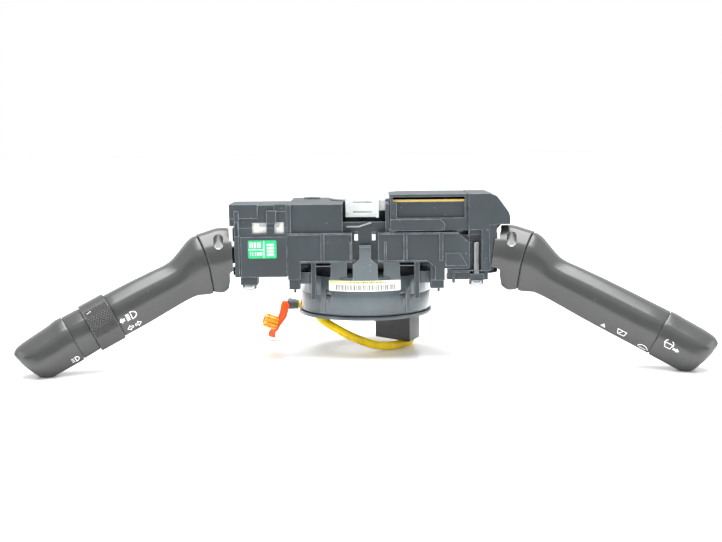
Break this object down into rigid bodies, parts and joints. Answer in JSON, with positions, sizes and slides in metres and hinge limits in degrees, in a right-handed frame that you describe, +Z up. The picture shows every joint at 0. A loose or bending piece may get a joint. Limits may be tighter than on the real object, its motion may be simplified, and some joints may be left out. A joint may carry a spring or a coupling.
{
  "type": "steering column combination switch with clock spring",
  "caption": "Bracket that clamps on a steering column and carries a lighting lever, a wiper lever and a cable reel whose rotor turns with the steering wheel.",
  "frame": {"origin": "on the column axis, inside the bush that centres the unit on the column tube", "axes": "+Z up the column towards the front of the car, +X towards the wiper lever, -Y towards the top of the column"},
  "size_m": [0.4576, 0.1582, 0.1146],
  "materials": {
    "black_body_plastic": "fine grained moulding",
    "black_inner_plastic": "smooth moulding",
    "lever_plastic": "soft satin grain",
    "light_grey_plastic": "smooth moulding",
    "white_nylon": "smooth moulding",
    "contact_metal": "bright stamped strip",
    "plated_steel": "zinc plated",
    "circuit_board": "cut laminate edge",
    "ribbon_film": "laminated film",
    "yellow_sleeve": "smooth vinyl",
    "boot_rubber": "matt",
    "orange_plug_plastic": "smooth moulding",
    "amber_lock_plastic": "translucent moulding"
  },
  "bodies": {
    "column_unit": {"switch_bracket": "black_body_plastic", "column_bush": "light_grey_plastic", "bush_clip": "light_grey_plastic", "lighting_case": "black_body_plastic", "lighting_base": "white_nylon", "lighting_cover": "black_inner_plastic", "lighting_pins": "contact_metal", "wiper_case": "black_body_plastic", "wiper_base": "white_nylon", "wiper_cover": "black_inner_plastic", "wiper_pins": "contact_metal", "control_case": "black_body_plastic", "control_lid": "black_body_plastic", "control_board": "circuit_board", "module_screws": "plated_steel", "reel_case": "black_body_plastic", "reel_cover": "black_body_plastic", "reel_door": "black_body_plastic", "reel_socket_pins": "contact_metal", "ribbon_coil": "ribbon_film"},
    "reel_rotor": {"rotor": "black_body_plastic", "rotor_sleeve": "black_body_plastic", "connector_tower": "black_inner_plastic", "tower_pins": "contact_metal", "cancel_sleeve": "white_nylon", "airbag_lead": "yellow_sleeve", "lead_boot": "boot_rubber", "squib_plug": "orange_plug_plastic", "squib_lock": "amber_lock_plastic"},
    "turn_signal_carrier": {"turn_carrier": "white_nylon", "turn_pin": "plated_steel", "turn_plunger": "contact_metal"},
    "lighting_arm": {"lighting_hub": "lever_plastic", "lighting_lever": "lever_plastic", "lever_collar": "lever_plastic"},
    "fog_lamp_ring": {"fog_ring": "lever_plastic"},
    "light_switch_knob": {"light_knob": "lever_plastic", "light_rod": "plated_steel"},
    "wiper_swing_carrier": {"wiper_carrier": "white_nylon", "wiper_pin": "plated_steel", "wiper_plunger": "contact_metal"},
    "wiper_arm": {"wiper_hub": "lever_plastic", "wiper_lever": "lever_plastic", "wiper_end_cap": "lever_plastic"}
  },
  "joints": [
    {"name": "reel_turn", "type": "hinge", "parent": "column_unit", "child": "reel_rotor", "pos_m": [0, 0, -0.05], "axis": [0, 0, 1], "range_deg": [-900, 900]},
    {"name": "turn_signal_swing", "type": "hinge", "parent": "column_unit", "child": "turn_signal_carrier", "pos_m": [-0.077, -0.0385, -0.026], "axis": [0, 0, 1], "range_deg": [-9, 9]},
    {"name": "beam_tilt", "type": "hinge", "parent": "turn_signal_carrier", "child": "lighting_arm", "pos_m": [-0.077, -0.0385, -0.026], "axis": [0.3289, -0.9444, 0], "range_deg": [-5, 6], "stiffness_Nm_per_rad": 60},
    {"name": "fog_ring_turn", "type": "hinge", "parent": "lighting_arm", "child": "fog_lamp_ring", "pos_m": [-0.17432, -0.07239, -0.06667], "axis": [-0.8481, -0.2953, -0.4399], "range_deg": [0, 30]},
    {"name": "light_knob_turn", "type": "hinge", "parent": "lighting_arm", "child": "light_switch_knob", "pos_m": [-0.2023, -0.08213, -0.08119], "axis": [-0.8481, -0.2953, -0.4399], "range_deg": [0, 60]},
    {"name": "wiper_swing", "type": "hinge", "parent": "column_unit", "child": "wiper_swing_carrier", "pos_m": [0.077, -0.0385, -0.026], "axis": [0, 0, 1], "range_deg": [-7, 21]},
    {"name": "washer_pull", "type": "hinge", "parent": "wiper_swing_carrier", "child": "wiper_arm", "pos_m": [0.077, -0.0385, -0.026], "axis": [0.3289, 0.9444, 0], "range_deg": [0, 6], "stiffness_Nm_per_rad": 4}
  ]
}
